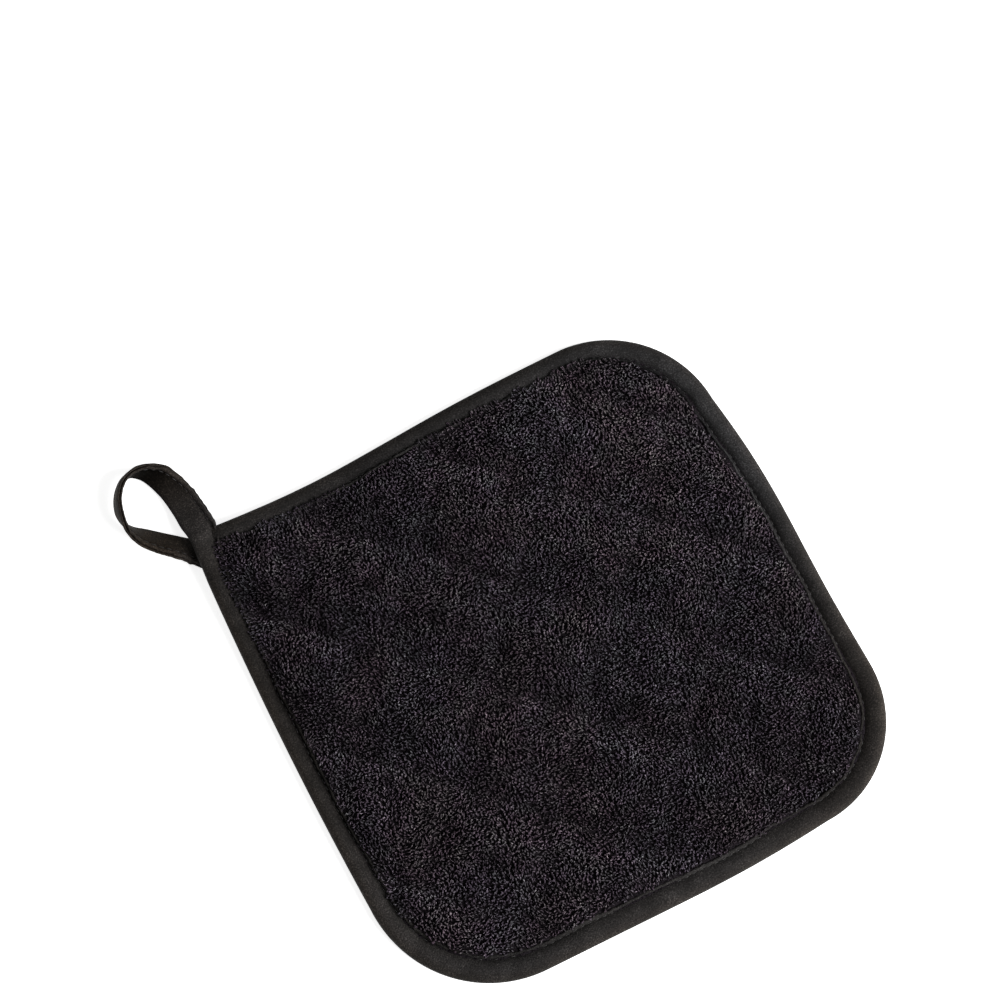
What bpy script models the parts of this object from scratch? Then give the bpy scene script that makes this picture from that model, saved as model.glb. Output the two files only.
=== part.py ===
"""A square quilted pot holder with a tape edge that runs on into a hanging loop.

The pad lies flat with its terry face up: the two quilted faces are stitched
together in diamonds, a folded tape holds their edges, and at one corner that
tape carries on as a strap, which curls round and comes back under the corner.
X and Y run along the pad's sides, +Z is up, and the origin is the middle of
the pad's resting face. Tables are in millimetres, everything else in metres.
"""

import math

import bmesh
import bpy
import numpy as np
from mathutils import Vector

MM = 0.001
MODEL_NAME = "pot_holder"

# The pad's outline, clockwise from the loop's corner: where two sides would
# meet, the round there, how far the side that follows bows outwards, and how
# far it sways out and back in along its length.
#    corner x, corner y, round, bow and sway of next side
CORNERS = (
    (-99.7, 101.0, 0.0, -1.5, -1.2),
    (99.8, 100.8, 45.0, 1.6, 0.9),
    (103.6, -102.6, 42.2, 1.6, 0.4),
    (-102.4, -100.5, 48.6, 1.9, 0.0),
)
SIDE_POINTS = 14
ARC_POINTS = 12

# The quilting: stitch lines at 45 degrees to the sides, in square diamonds.
DIAMOND = 55.0 * MM
QUILT_REACH = 9.5 * MM
TERRY_DIP = 1.5 * MM
BACK_DIP = 1.1 * MM

# How the two faces swell from the edge that the tape holds, ring by ring. The
# tape covers the first FLAT_RINGS rings, so they have no quilting or crown.
#       inset, round at loop corner, back low, back high, terry low, terry high
EDGE_RINGS = (
    (2.3, 0.0, 1.3, 2.6, 2.9, 4.3),
    (8.0, 12.0, 1.3, 2.6, 2.9, 4.3),
    (8.9, 12.0, 1.1, 2.8, 3.1, 5.9),
    (12.5, 13.0, 0.3, 3.1, 3.4, 7.4),
    (18.0, 14.0, 0.0, 3.4, 3.7, 8.1),
)
CROWN = 1.0 * MM
FLAT_RINGS = 2
GRID_HALF = 16
MIDDLE_RINGS = GRID_HALF - len(EDGE_RINGS) + 1

# The corner with the loop stands up a little, on the strap's end under it.
CORNER_LIFT = 3.7 * MM
LIFT_REACH = 62.0 * MM

# The tape: folded round the edge, or pressed flat as the loop's strap.
TAPE_WALL = 1.0 * MM
TAPE_WIDTH = 7.6 * MM
WRAPPED_THICK = 5.6 * MM
STRAP_THICK = 2.0 * MM
STRAP_SLIT = 0.3 * MM
STRAP_SLIT_DEPTH = 1.2 * MM
FOLD_WALL = 1.8 * MM
FOLD_STEPS = 4
FOLD_FULLNESS = 0.8
BINDING_START_X = -87.7 * MM
BINDING_END_Y = 81.7 * MM

# The tape from the pad's side into the loop and back under the corner. Its
# fold and its open, stitched edges are given at the middle of its thickness;
# "wrap" is 1 where it holds the pad's edge and rises with it, and 0 where it
# is a flat strap.
#      fold x, fold y, fold z, open x, open y, open z, wrap
LOOP = (
    (-100.7, 82.0, 2.8, -93.1, 82.0, 2.8, 1.0),
    (-100.1, 90.5, 2.8, -90.9, 90.5, 2.8, 1.0),
    (-99.7, 99.5, 2.8, -88.3, 99.5, 2.8, 1.0),
    (-100.6, 105.5, 4.2, -88.8, 105.5, 4.4, 0.3),
    (-101.0, 111.5, 3.4, -89.6, 112.0, 3.6, 0.0),
    (-102.0, 119.0, 1.8, -90.8, 118.9, 2.2, 0.0),
    (-103.4, 124.2, 1.2, -92.4, 123.9, 3.3, 0.0),
    (-104.8, 128.2, 1.2, -95.1, 128.4, 6.6, 0.0),
    (-106.8, 131.6, 1.2, -99.6, 131.2, 9.4, 0.0),
    (-110.0, 133.9, 1.2, -105.2, 132.4, 10.4, 0.0),
    (-113.5, 132.9, 1.2, -110.8, 130.8, 10.8, 0.0),
    (-117.4, 128.9, 1.2, -114.9, 126.4, 10.7, 0.0),
    (-119.8, 123.2, 1.2, -116.9, 121.2, 10.9, 0.0),
    (-119.2, 118.2, 1.2, -117.9, 115.8, 11.0, 0.0),
    (-117.0, 115.2, 1.2, -118.1, 111.4, 10.4, 0.0),
    (-113.2, 112.4, 1.2, -116.3, 106.6, 8.9, 0.0),
    (-108.6, 108.7, 1.2, -112.8, 102.4, 7.7, 0.0),
    (-103.9, 104.8, 1.1, -109.0, 98.6, 6.9, 0.0),
    (-98.9, 100.8, 1.05, -105.2, 94.8, 5.2, 0.0),
    (-93.9, 97.6, 1.0, -101.6, 91.3, 2.3, 0.0),
    (-89.8, 94.2, 1.0, -97.4, 87.0, 1.1, 0.0),
    (-84.2, 89.0, 1.0, -91.6, 81.2, 1.0, 0.0),
)
LOOP_STEPS = 3

PANEL_SHARP = math.radians(40.0)
TAPE_SHARP = math.radians(50.0)

#           red, green, blue, roughness
MATERIALS = {
    "terry": (0.022, 0.020, 0.026, 0.95),
    "silver_cloth": (0.62, 0.63, 0.65, 0.42),
    "binding_tape": (0.030, 0.031, 0.030, 0.85),
    "loop_tape": (0.030, 0.031, 0.030, 0.85),
}


def smooth_step(value):
    """A ramp from 0 to 1 with level ends."""
    t = min(max(value, 0.0), 1.0)
    return t * t * (3.0 - 2.0 * t)


def clear_scene():
    """Remove the scene's objects."""
    for obj in list(bpy.data.objects):
        bpy.data.objects.remove(obj, do_unlink=True)


def model_collection():
    """The collection that holds the pot holder's parts."""
    collection = bpy.data.collections.new(MODEL_NAME)
    bpy.context.scene.collection.children.link(collection)
    return collection


def cloth_material(name):
    """A plain cloth finish of the photo's colour."""
    red, green, blue, roughness = MATERIALS[name]
    material = bpy.data.materials.new(name)
    material.use_nodes = True
    shader = material.node_tree.nodes["Principled BSDF"]
    shader.inputs["Base Color"].default_value = (red, green, blue, 1.0)
    shader.inputs["Roughness"].default_value = roughness
    shader.inputs["Metallic"].default_value = 0.0
    return material


def inset_corners(inset):
    """The four corner points with every side moved inwards by inset."""
    points = [Vector(row[:2]) * MM for row in CORNERS]
    moved = []
    for i, point in enumerate(points):
        before = (point - points[i - 1]).normalized()
        after = (points[(i + 1) % len(points)] - point).normalized()
        inward_before = Vector((before.y, -before.x))
        inward_after = Vector((after.y, -after.x))
        middle = inward_before + inward_after
        moved.append(point + middle * (inset * 2.0 / middle.length_squared))
    return moved


def round_corner(point, before, after, radius):
    """Points of an arc of the given radius that rounds one corner."""
    if radius <= 0.0:
        return [point]
    back = (before - point).normalized()
    ahead = (after - point).normalized()
    half_angle = back.angle(ahead) / 2.0
    start = point + back * (radius / math.tan(half_angle))
    centre = point + (back + ahead).normalized() * (radius / math.sin(half_angle))
    spoke = start - centre
    turn = -(math.pi - 2.0 * half_angle)
    arc = []
    for step in range(ARC_POINTS + 1):
        angle = turn * step / ARC_POINTS
        cos_a, sin_a = math.cos(angle), math.sin(angle)
        arm = Vector((spoke.x * cos_a - spoke.y * sin_a, spoke.x * sin_a + spoke.y * cos_a))
        arc.append(centre + arm)
    return arc


def corner_arcs(inset, loop_round):
    """The rounds of the four corners, clockwise from the loop's corner."""
    points = inset_corners(inset)
    arcs = []
    for i, point in enumerate(points):
        radius = CORNERS[i][2] * MM - inset if i else loop_round
        arcs.append(round_corner(point, points[i - 1], points[(i + 1) % len(points)], radius))
    return arcs


def side_shift(side, point):
    """How the bow and sway of a side move a point beside it."""
    arcs = corner_arcs(0.0, 0.0)
    start, end = arcs[side][-1], arcs[(side + 1) % len(arcs)][0]
    along = end - start
    t = min(max((point - start).dot(along) / along.length_squared, 0.0), 1.0)
    bow, sway = CORNERS[side][3] * MM, CORNERS[side][4] * MM
    out = bow * 4.0 * t * (1.0 - t) + sway * math.sin(2.0 * math.pi * t)
    return Vector((-along.y, along.x)).normalized() * out


def pad_outline(inset, loop_round=0.0):
    """The pad's outline, clockwise from the loop's corner, moved inwards."""
    arcs = corner_arcs(inset, loop_round)
    outline = []
    for i, arc in enumerate(arcs):
        before = (i - 1) % len(arcs)
        outline.extend(p + side_shift(before, p) + side_shift(i, p) for p in arc)
        start, end = arc[-1], arcs[(i + 1) % len(arcs)][0]
        for step in range(1, SIDE_POINTS):
            point = start.lerp(end, step / SIDE_POINTS)
            outline.append(point + side_shift(i, point))
    return outline


def polar_table(outline):
    """The outline as angles and radii about the pad's middle, in order."""
    polar = sorted((math.atan2(p.y, p.x), p.length) for p in outline)
    return np.array([a for a, _ in polar]), np.array([r for _, r in polar])


def lift_at(x, y):
    """How far the pad is raised over the strap's end at the loop's corner."""
    corner = Vector(CORNERS[0][:2]) * MM
    away = (Vector((x, y)) - corner).length
    return CORNER_LIFT * (1.0 - smooth_step(away / LIFT_REACH))


def quilt_at(x, y):
    """1 on a stitch line, falling to 0 on the pillow beside it."""
    depth = 0.0
    for across in (x + y, x - y):
        from_line = abs(across % DIAMOND - DIAMOND / 2.0) / math.sqrt(2.0)
        depth = max(depth, 1.0 - smooth_step(from_line / QUILT_REACH))
    return depth


def ring_place(a, b, tables):
    """The place on the pad, and the ring, of a point of the unit grid."""
    ring = round(max(abs(a), abs(b)) * GRID_HALF)
    if ring == 0:
        return 0.0, 0.0, len(EDGE_RINGS), 0.0
    edge_ring = min(GRID_HALF - ring, len(EDGE_RINGS) - 1)
    share = min(ring / MIDDLE_RINGS, 1.0)
    angles, radii = tables[edge_ring]
    angle = math.atan2(b, a)
    radius = float(np.interp(angle, angles, radii, period=2.0 * math.pi)) * share
    return radius * math.cos(angle), radius * math.sin(angle), GRID_HALF - ring, share


def panel(name, low_column, high_column, low_dip, high_dip, crown, tables):
    """One quilted face: a grid drawn to the pad's outline, with its thickness."""
    mesh = bpy.data.meshes.new(name)
    bm = bmesh.new()
    bmesh.ops.create_grid(bm, x_segments=2 * GRID_HALF, y_segments=2 * GRID_HALF, size=1.0)
    upper = bmesh.ops.extrude_face_region(bm, geom=bm.faces[:], use_keep_orig=True)
    for vert in upper["geom"]:
        if isinstance(vert, bmesh.types.BMVert):
            vert.co.z = 1.0
    for vert in bm.verts:
        is_high = vert.co.z > 0.5
        x, y, ring, share = ring_place(vert.co.x, vert.co.y, tables)
        row = EDGE_RINGS[min(ring, len(EDGE_RINGS) - 1)]
        height = row[high_column if is_high else low_column] * MM
        if ring >= FLAT_RINGS:
            height += (high_dip if is_high else low_dip) * quilt_at(x, y)
        if is_high and ring >= FLAT_RINGS:
            height += crown * (1.0 - share * share)
        vert.co = (x, y, height + lift_at(x, y))
    bmesh.ops.recalc_face_normals(bm, faces=bm.faces[:])
    for face in bm.faces:
        face.smooth = True
    bm.to_mesh(mesh)
    bm.free()
    mesh.set_sharp_from_angle(angle=PANEL_SHARP)
    return mesh


def tape_section(width, wrap):
    """The tape across its width: a fold at 0 and two free edges at width."""
    thick = STRAP_THICK + (WRAPPED_THICK - STRAP_THICK) * wrap
    slit = STRAP_SLIT + (WRAPPED_THICK - 2.0 * TAPE_WALL - STRAP_SLIT) * wrap
    depth = STRAP_SLIT_DEPTH + (width - FOLD_WALL - STRAP_SLIT_DEPTH) * wrap
    reach = STRAP_THICK / 2.0 + (WRAPPED_THICK - STRAP_THICK) / 2.0 * FOLD_FULLNESS * wrap
    section = [(width, -thick / 2.0)]
    for step in range(FOLD_STEPS + 1):
        angle = math.pi * (step / FOLD_STEPS - 0.5)
        section.append((reach * (1.0 - math.cos(angle)), thick / 2.0 * math.sin(angle)))
    section.append((width, thick / 2.0))
    section.append((width, slit / 2.0))
    section.append((width - depth, slit / 2.0))
    section.append((width - depth, -slit / 2.0))
    section.append((width, -slit / 2.0))
    return section


def loft(name, sections):
    """A closed body through sections that have the same number of points."""
    mesh = bpy.data.meshes.new(name)
    bm = bmesh.new()
    rings = [[bm.verts.new(point) for point in section] for section in sections]
    count = len(rings[0])
    for ring, following in zip(rings, rings[1:]):
        for i in range(count):
            j = (i + 1) % count
            bm.faces.new((ring[i], ring[j], following[j], following[i]))
    bm.faces.new(list(reversed(rings[0])))
    bm.faces.new(rings[-1])
    bmesh.ops.recalc_face_normals(bm, faces=bm.faces[:])
    for face in bm.faces:
        face.smooth = len(face.verts) == 4
    bm.to_mesh(mesh)
    bm.free()
    mesh.set_sharp_from_angle(angle=TAPE_SHARP)
    return mesh


def tape_ring(fold, open_edge, along, wrap):
    """The tape's section in place, between its fold and its open edges."""
    across = open_edge - fold
    width = across.length
    across.normalize()
    normal = across.cross(along).normalized()
    return [fold + across * s + normal * h for s, h in tape_section(width, wrap)]


def where_crossed(p, q, axis, value):
    """The point between p and q that has the given x or y."""
    return p.lerp(q, (value - p[axis]) / (q[axis] - p[axis]))


def binding_mesh():
    """The tape round the pad, from beside the loop to the loop's root."""
    outline = pad_outline(0.0)
    first = next(i for i, p in enumerate(outline) if p.x > BINDING_START_X)
    last = max(i for i, p in enumerate(outline) if p.y < BINDING_END_Y)
    start = where_crossed(outline[first - 1], outline[first], 0, BINDING_START_X)
    end = where_crossed(outline[last], outline[(last + 1) % len(outline)], 1, BINDING_END_Y)
    path = [start] + outline[first:last + 1] + [end]
    sections = []
    for i, point in enumerate(path):
        before = path[max(i - 1, 0)]
        after = path[min(i + 1, len(path) - 1)]
        along = (after - before).normalized()
        inward = Vector((along.y, -along.x, 0.0))
        fold = Vector((point.x, point.y, WRAPPED_THICK / 2.0))
        ring = tape_ring(fold, fold + inward * TAPE_WIDTH, along.to_3d(), 1.0)
        sections.append([p + Vector((0.0, 0.0, lift_at(p.x, p.y))) for p in ring])
    return loft("edge_binding", sections)


def through_rows(rows, steps):
    """A smooth run through the rows of a table, steps for each interval."""
    table = np.array(rows)
    run = []
    last = len(table) - 1
    for i in range(last):
        p0, p1 = table[max(i - 1, 0)], table[i]
        p2, p3 = table[i + 1], table[min(i + 2, last)]
        for step in range(steps):
            t = step / steps
            run.append(0.5 * (2.0 * p1 + (p2 - p0) * t
                              + (2.0 * p0 - 5.0 * p1 + 4.0 * p2 - p3) * t ** 2
                              + (3.0 * (p1 - p2) + p3 - p0) * t ** 3))
    run.append(table[last])
    return run


def loop_mesh():
    """The strap: off the pad's side, round the loop and under the corner."""
    run = through_rows(LOOP, LOOP_STEPS)
    folds = [Vector(row[0:3]) * MM for row in run]
    opens = [Vector(row[3:6]) * MM for row in run]
    middles = [(fold + edge) / 2.0 for fold, edge in zip(folds, opens)]
    sections = []
    for i, row in enumerate(run):
        along = middles[min(i + 1, len(run) - 1)] - middles[max(i - 1, 0)]
        wrap = min(max(float(row[6]), 0.0), 1.0)
        ring = tape_ring(folds[i], opens[i], along.normalized(), wrap)
        sections.append([p + Vector((0.0, 0.0, wrap * lift_at(p.x, p.y))) for p in ring])
    return loft("hanging_loop", sections)


def add_part(collection, name, mesh, material):
    """One named part of the pot holder, with its own cloth."""
    mesh.materials.append(cloth_material(material))
    obj = bpy.data.objects.new(name, mesh)
    collection.objects.link(obj)
    return obj


def build():
    """Make the pot holder's four pieces."""
    clear_scene()
    collection = model_collection()
    tables = [polar_table(pad_outline(row[0] * MM, row[1] * MM)) for row in EDGE_RINGS]
    back = panel("silver_back", 2, 3, BACK_DIP, 0.0, 0.0, tables)
    terry = panel("terry_face", 4, 5, 0.0, -TERRY_DIP, CROWN, tables)
    add_part(collection, "silver_back", back, "silver_cloth")
    add_part(collection, "terry_face", terry, "terry")
    add_part(collection, "edge_binding", binding_mesh(), "binding_tape")
    add_part(collection, "hanging_loop", loop_mesh(), "loop_tape")


build()
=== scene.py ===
"""The quilted pot holder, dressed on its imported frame.

The terry face gets a ground cloth and its looped pile, the back its silver
cloth with pillows, puckers and seams, and the tape its folded lips, groove and
stitches, round the edge and along the hanging loop. Tables are in millimetres,
everything else in metres, and X and Y run along the pad's sides.
"""

import math

import bmesh
import bpy
import numpy as np
from mathutils import Matrix, Vector


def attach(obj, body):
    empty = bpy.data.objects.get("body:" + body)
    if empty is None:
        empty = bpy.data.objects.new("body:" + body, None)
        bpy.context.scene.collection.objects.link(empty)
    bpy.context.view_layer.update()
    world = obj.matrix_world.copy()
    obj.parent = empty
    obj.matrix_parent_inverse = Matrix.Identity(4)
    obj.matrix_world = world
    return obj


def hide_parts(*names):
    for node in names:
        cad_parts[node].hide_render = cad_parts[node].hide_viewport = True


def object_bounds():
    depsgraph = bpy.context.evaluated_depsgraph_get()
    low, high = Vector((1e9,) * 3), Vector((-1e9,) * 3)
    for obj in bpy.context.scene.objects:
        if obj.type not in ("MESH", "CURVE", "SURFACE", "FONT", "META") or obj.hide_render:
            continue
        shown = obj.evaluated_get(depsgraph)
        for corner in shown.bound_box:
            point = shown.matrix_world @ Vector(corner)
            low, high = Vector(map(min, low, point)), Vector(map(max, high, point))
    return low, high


MM = 0.001
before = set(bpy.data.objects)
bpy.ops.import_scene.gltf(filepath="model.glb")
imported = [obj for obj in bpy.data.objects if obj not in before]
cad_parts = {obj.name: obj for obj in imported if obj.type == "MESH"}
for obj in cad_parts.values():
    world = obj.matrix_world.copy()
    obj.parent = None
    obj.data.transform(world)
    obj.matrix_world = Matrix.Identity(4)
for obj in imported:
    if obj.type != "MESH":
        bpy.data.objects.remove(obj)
CAD_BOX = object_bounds()

# The pad's outline, clockwise from the loop's corner, as in the solids.
#    corner x, corner y, round, bow and sway of next side
CORNERS = np.array((
    (-99.7, 101.0, 0.0, -1.5, -1.2),
    (99.8, 100.8, 45.0, 1.6, 0.9),
    (103.6, -102.6, 42.2, 1.6, 0.4),
    (-102.4, -100.5, 48.6, 1.9, 0.0),
))
SIDE_POINTS = 60
ARC_POINTS = 24

# The rings that the faces swell over: inset, and the round at the loop's corner.
RINGS = ((0.0, 0.0), (2.3, 0.0), (8.0, 4.0), (8.9, 4.0), (12.5, 6.0), (18.0, 8.0))
DIAMOND = 55.0 * MM
CORNER_LIFT = 3.7 * MM
LIFT_REACH = 62.0 * MM

# The terry face: the pile's top over its inset from the pad's edge.
TERRY_INSETS = (2.3, 7.6, 8.9, 12.5, 18.0)
TERRY_TOPS = (3.6, 3.7, 6.1, 7.5, 8.1)
TERRY_CROWN = 1.0 * MM
TERRY_DIP = 2.1 * MM
TERRY_CROSS_DIP = 1.1 * MM
TERRY_REACH = 17.0 * MM
TERRY_LOW = 3.5 * MM
PILE_DEPTH = 1.9 * MM
TERRY_STEP = DIAMOND / 24.0

# The silver back: its pillows press on the table, its seams stand off it.
BACK_EDGE = 1.95 * MM
BACK_DIP = 2.2 * MM
BACK_REACH = 17.0 * MM
BACK_HIGH = 3.2 * MM
BACK_STEP = DIAMOND / 36.0
BACK_SLACK = 0.035
BACK_PRESSURE = 1.2
BACK_FRAMES = 22
BACK_CAP = 1.6 * MM
FLOOR_GIVE = 0.35 * MM
BACK_HELD = 9.2 * MM
PANEL_EDGE = 3.2 * MM
GRID_HALF = 106.0 * MM

# Round the pad, by the direction from its middle: how far in the tape reaches on the
# terry face, how far the pile laps over it, the tape's tone, its gain of tone at the outer
# edge and the tones of its groove and its lip, all painted light and shade, and its warmth.
TAPE_SHOWS = (
    (-171.0, 8.0, 0.0, 0.69, 0.50, 0.32, 0.75, 0.05),
    (-148.0, 9.6, 0.3, 1.00, -0.05, 0.58, 0.62, 0.04),
    (-126.0, 9.9, 0.1, 0.86, -0.20, 0.60, 0.82, 0.00),
    (-103.0, 9.5, -0.1, 0.98, -0.20, 1.10, 0.88, 0.02),
    (-78.0, 9.0, -0.1, 0.97, -0.22, 1.12, 0.88, 0.00),
    (-56.0, 9.6, 0.2, 0.70, 0.28, 1.15, 0.48, 0.05),
    (-35.0, 9.8, -0.2, 0.64, 0.60, 0.88, 1.40, 0.08),
    (-13.0, 8.0, 0.0, 0.78, 0.33, 0.58, 1.55, 0.00),
    (13.0, 9.0, -0.2, 1.04, 0.05, 0.42, 1.50, -0.06),
    (36.0, 9.6, -0.3, 1.14, -0.14, 0.30, 0.22, -0.05),
    (57.0, 8.6, 0.7, 0.70, 0.28, 1.10, 0.80, -0.03),
    (80.0, 8.6, 1.4, 0.61, 0.00, 1.20, 1.00, 0.00),
    (106.0, 7.7, -0.5, 0.54, 0.45, 0.70, 2.20, 0.00),
    (127.0, 8.3, 1.4, 0.58, 0.80, 1.30, 1.00, 0.02),
    (143.0, 8.3, 1.4, 0.60, 0.50, 1.05, 0.90, 0.05),
    (163.0, 8.1, 0.1, 0.57, 0.95, 0.32, 0.85, 0.07),
)
EDGE_WARMTH = 0.10
WARM_RED = 0.85
OUTER_REACH = 4.5 * MM
TAPE_STEP = 1.0 * MM
WRAPPED_MIDDLE = 2.8 * MM
BINDING_START_X = -92.5 * MM
TUCK_RUN = 6.0 * MM
TUCKED_THICK = 0.5
BINDING_END_Y = 81.8 * MM

# The tape's section, upper half, from the slot between its layers out over an open
# edge and back to the fold: flat as a strap, and wrapped round the pad's edge. Places
# across are a share of the width and a distance. "Pull" is where stitches draw it
# down, and "loose" is where its edge wavers.
#      flat: share, across, height, wrapped: share, across, height, pull, loose
TAPE_SECTION = np.array((
    (1.0, -4.60, 0.00, 0.00, 0.95, 0.00, 0.0, 0.0),
    (1.0, -4.30, 0.06, 0.00, 1.15, 0.85, 0.0, 0.0),
    (1.0, -2.40, 0.10, 0.00, 1.90, 1.55, 0.0, 0.0),
    (1.0, -0.85, 0.15, 0.50, 0.00, 1.82, 0.0, 0.0),
    (1.0, -0.60, 0.16, 1.00, -2.60, 1.22, 0.0, 0.0),
    (1.0, -0.35, 0.18, 1.00, -1.50, 1.02, 0.0, 0.3),
    (1.0, -0.10, 0.27, 1.00, -0.35, 1.15, 0.0, 1.0),
    (1.0, 0.00, 0.52, 1.00, 0.00, 1.58, 0.0, 1.0),
    (1.0, -0.10, 0.80, 1.00, -0.08, 1.98, 0.0, 1.0),
    (1.0, -0.50, 0.98, 1.00, -0.42, 2.28, 0.0, 0.9),
    (1.0, -1.10, 1.02, 1.00, -0.85, 2.22, 0.2, 0.6),
    (1.0, -1.60, 0.92, 1.00, -1.20, 1.62, 0.7, 0.3),
    (1.0, -1.90, 0.74, 1.00, -1.50, 1.24, 1.0, 0.0),
    (1.0, -2.20, 0.92, 1.00, -1.85, 1.48, 0.7, 0.0),
    (1.0, -2.90, 1.01, 1.00, -2.60, 1.98, 0.3, 0.0),
    (1.0, -4.20, 0.99, 1.00, -3.70, 2.48, 0.0, 0.0),
    (0.42, 0.00, 0.97, 0.40, 0.00, 2.84, 0.0, 0.0),
    (0.0, 1.90, 1.00, 0.00, 2.10, 2.72, 0.0, 0.0),
    (0.0, 1.00, 0.96, 0.00, 1.15, 2.34, 0.0, 0.0),
    (0.0, 0.45, 0.80, 0.00, 0.52, 1.76, 0.0, 0.0),
    (0.0, 0.12, 0.45, 0.00, 0.14, 0.96, 0.0, 0.0),
    (0.0, 0.00, 0.00, 0.00, 0.00, 0.00, 0.0, 0.0),
))
STITCH_ROW = 12
UNDERSIDE = 0.98
WIDTH_WAVER = 0.22 * MM
STITCH_DRAW = 0.11 * MM
TAPE_SWELL = 0.045
LIP_WAVER = 0.22 * MM
LOWER_LIP = 0.65 * MM
# How much of the painted tone of the lip and of the groove each row of the section takes.
LIP_SHARE = np.array((0, 0, 0, 0, 0, 1, 1, 1, 1, 1, 0.7) + 11 * (0,))
GROOVE_SHARE = np.array((0, 0, 0, 0, 0, 0, 0, 0, 0, 0, 0.3, 0.8, 1, 0.8, 0.45, 0.1) + 6 * (0,))
# The strap's painted shade in its groove, and the painted tone of its lips on the loop.
STRAP_PAINTED_GROOVE = 0.6
STRAP_PAINTED_LIP = 0.85
TWILL_PITCH = 0.62 * MM
SILVER_WEAVE = 0.36 * MM

# The tones of its faces are painted light and shade, darkest inside the curl and under its return.
# The strap: off the pad's side, round the loop and back under the corner.
#      fold x, fold y, fold z, open x, open y, open z, wrap, tones of its faces, warmth
LOOP = (
    (-100.7, 81.8, 2.8, -92.5, 81.8, 2.8, 1.0, 0.62, 1.00, 0.06),
    (-100.1, 90.5, 2.8, -90.6, 90.5, 2.8, 1.0, 0.82, 1.00, 0.04),
    (-99.7, 99.5, 2.8, -88.3, 99.5, 2.8, 1.0, 1.04, 1.00, 0.02),
    (-100.6, 105.5, 4.2, -88.8, 105.5, 4.4, 0.3, 1.15, 1.00, 0.03),
    (-101.0, 111.5, 3.4, -89.6, 112.0, 3.6, 0.0, 1.05, 1.00, 0.05),
    (-102.0, 119.0, 1.8, -90.8, 118.9, 2.2, 0.0, 0.66, 1.00, 0.10),
    (-103.4, 124.2, 1.2, -92.4, 123.9, 3.3, 0.0, 0.34, 1.00, 0.14),
    (-104.8, 128.2, 1.2, -95.1, 128.4, 6.6, 0.0, 0.17, 1.00, 0.15),
    (-106.8, 131.6, 1.2, -99.6, 131.2, 9.4, 0.0, 0.13, 1.05, 0.15),
    (-110.0, 133.9, 1.2, -105.2, 132.4, 10.4, 0.0, 0.16, 1.10, 0.15),
    (-113.5, 132.9, 1.2, -110.8, 130.8, 10.8, 0.0, 0.25, 1.05, 0.16),
    (-117.4, 128.9, 1.2, -114.9, 126.4, 10.7, 0.0, 0.45, 1.00, 0.18),
    (-119.8, 123.2, 1.2, -116.9, 121.2, 10.9, 0.0, 0.60, 0.95, 0.18),
    (-119.2, 118.2, 1.2, -117.9, 115.8, 11.0, 0.0, 0.70, 0.95, 0.20),
    (-117.0, 115.2, 1.2, -118.1, 111.4, 10.4, 0.0, 0.70, 0.85, 0.18),
    (-113.2, 112.4, 1.2, -116.3, 106.6, 8.9, 0.0, 0.70, 0.60, 0.22),
    (-108.6, 108.7, 1.2, -112.8, 102.4, 7.7, 0.0, 0.70, 0.50, 0.22),
    (-103.9, 104.8, 1.1, -109.0, 98.6, 6.9, 0.0, 0.70, 0.45, 0.22),
    (-98.9, 100.8, 1.05, -105.2, 94.8, 5.2, 0.0, 0.80, 0.65, 0.12),
    (-93.9, 97.6, 1.0, -101.6, 91.3, 2.3, 0.0, 0.90, 0.85, 0.06),
    (-89.8, 94.2, 1.0, -97.4, 87.0, 1.1, 0.0, 1.00, 1.00, 0.03),
    (-84.2, 89.0, 1.0, -91.6, 81.2, 1.0, 0.0, 1.00, 1.00, 0.03),
)
LOOP_STEPS = 9
ROOT_ROWS = 4

# The pile: one loop of yarn to each root.
PILE_PITCH = 1.01 * MM
PILE_STRIPS = 5
YARN_RADIUS = 0.27 * MM
YARN_TAPER = np.array((0.75, 1.0, 1.0, 0.75))
# Painted shade at both ends of each loop, where it goes down into the pile.
YARN_ROOT_SHADE = np.array((0.04, 1.0, 1.0, 0.04))
YARN_SIDES = 3
LOOP_SPAN = 0.95 * MM
LOOP_RISE = 1.9 * MM
LOOP_LEAN = 0.7 * MM
EDGE_LEAN = 0.9 * MM
LAP_HEIGHT = 4.5 * MM
LOOP_CURL = 0.22 * MM
ROOT_SINK = 0.25 * MM
PILE_HALF = 105.0 * MM
PILE_HEADING = 2.3
LOOP_STRAY = 0.45
SEAM_PRESS = 0.28
EDGE_PRESS = 0.45

# The pile's tone: its level, the painted light and shade that changes across a diamond, the painted
# light along the pad, random patches, painted shadow in hollows, and how much it differs from loop to
# loop.
PILE_SHADE = 0.557
SEAM_PAINTED_LIGHT = 0.075
SEAM_PAINTED_LIGHT_MORE = 0.05
PAINTED_LIGHT_SLOPE = 0.30
PAINTED_LIGHT_TWIST = 16.0
PAINTED_LIGHT_TWIST_END = 0.004
PATCH_SHADE = 0.066
HOLLOW_PAINTED_SHADOW = 0.17
LOOP_SHADE = 0.125
LINT_SHARE = 0.0012

# Sewing thread.
EDGE_PITCH = 3.0 * MM
QUILT_PITCH = 2.4 * MM
THREAD_RADIUS = 0.17 * MM
THREAD_SIDES = 4
BLACK_THREAD = (0.018, 0.0165, 0.0165)

# The strap's end: dense stitches across it, the fray of its cut and a loose thread.
OPEN_ROW = 7
TACK_BACK = 4.2 * MM
TACK_WIDE = 1.3 * MM
TACK_STITCHES = 18
TACK_PULL = 0.45 * MM
FRAY_THREADS = 110
FRAY_RADIUS = 0.07 * MM
LOOSE_THREAD = ((-96.6, 88.2, 0.5), (-97.8, 86.4, 0.4), (-98.0, 84.2, 0.3), (-96.6, 82.0, 0.3),
                (-96.2, 79.8, 0.4), (-97.4, 77.9, 0.5))

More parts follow.
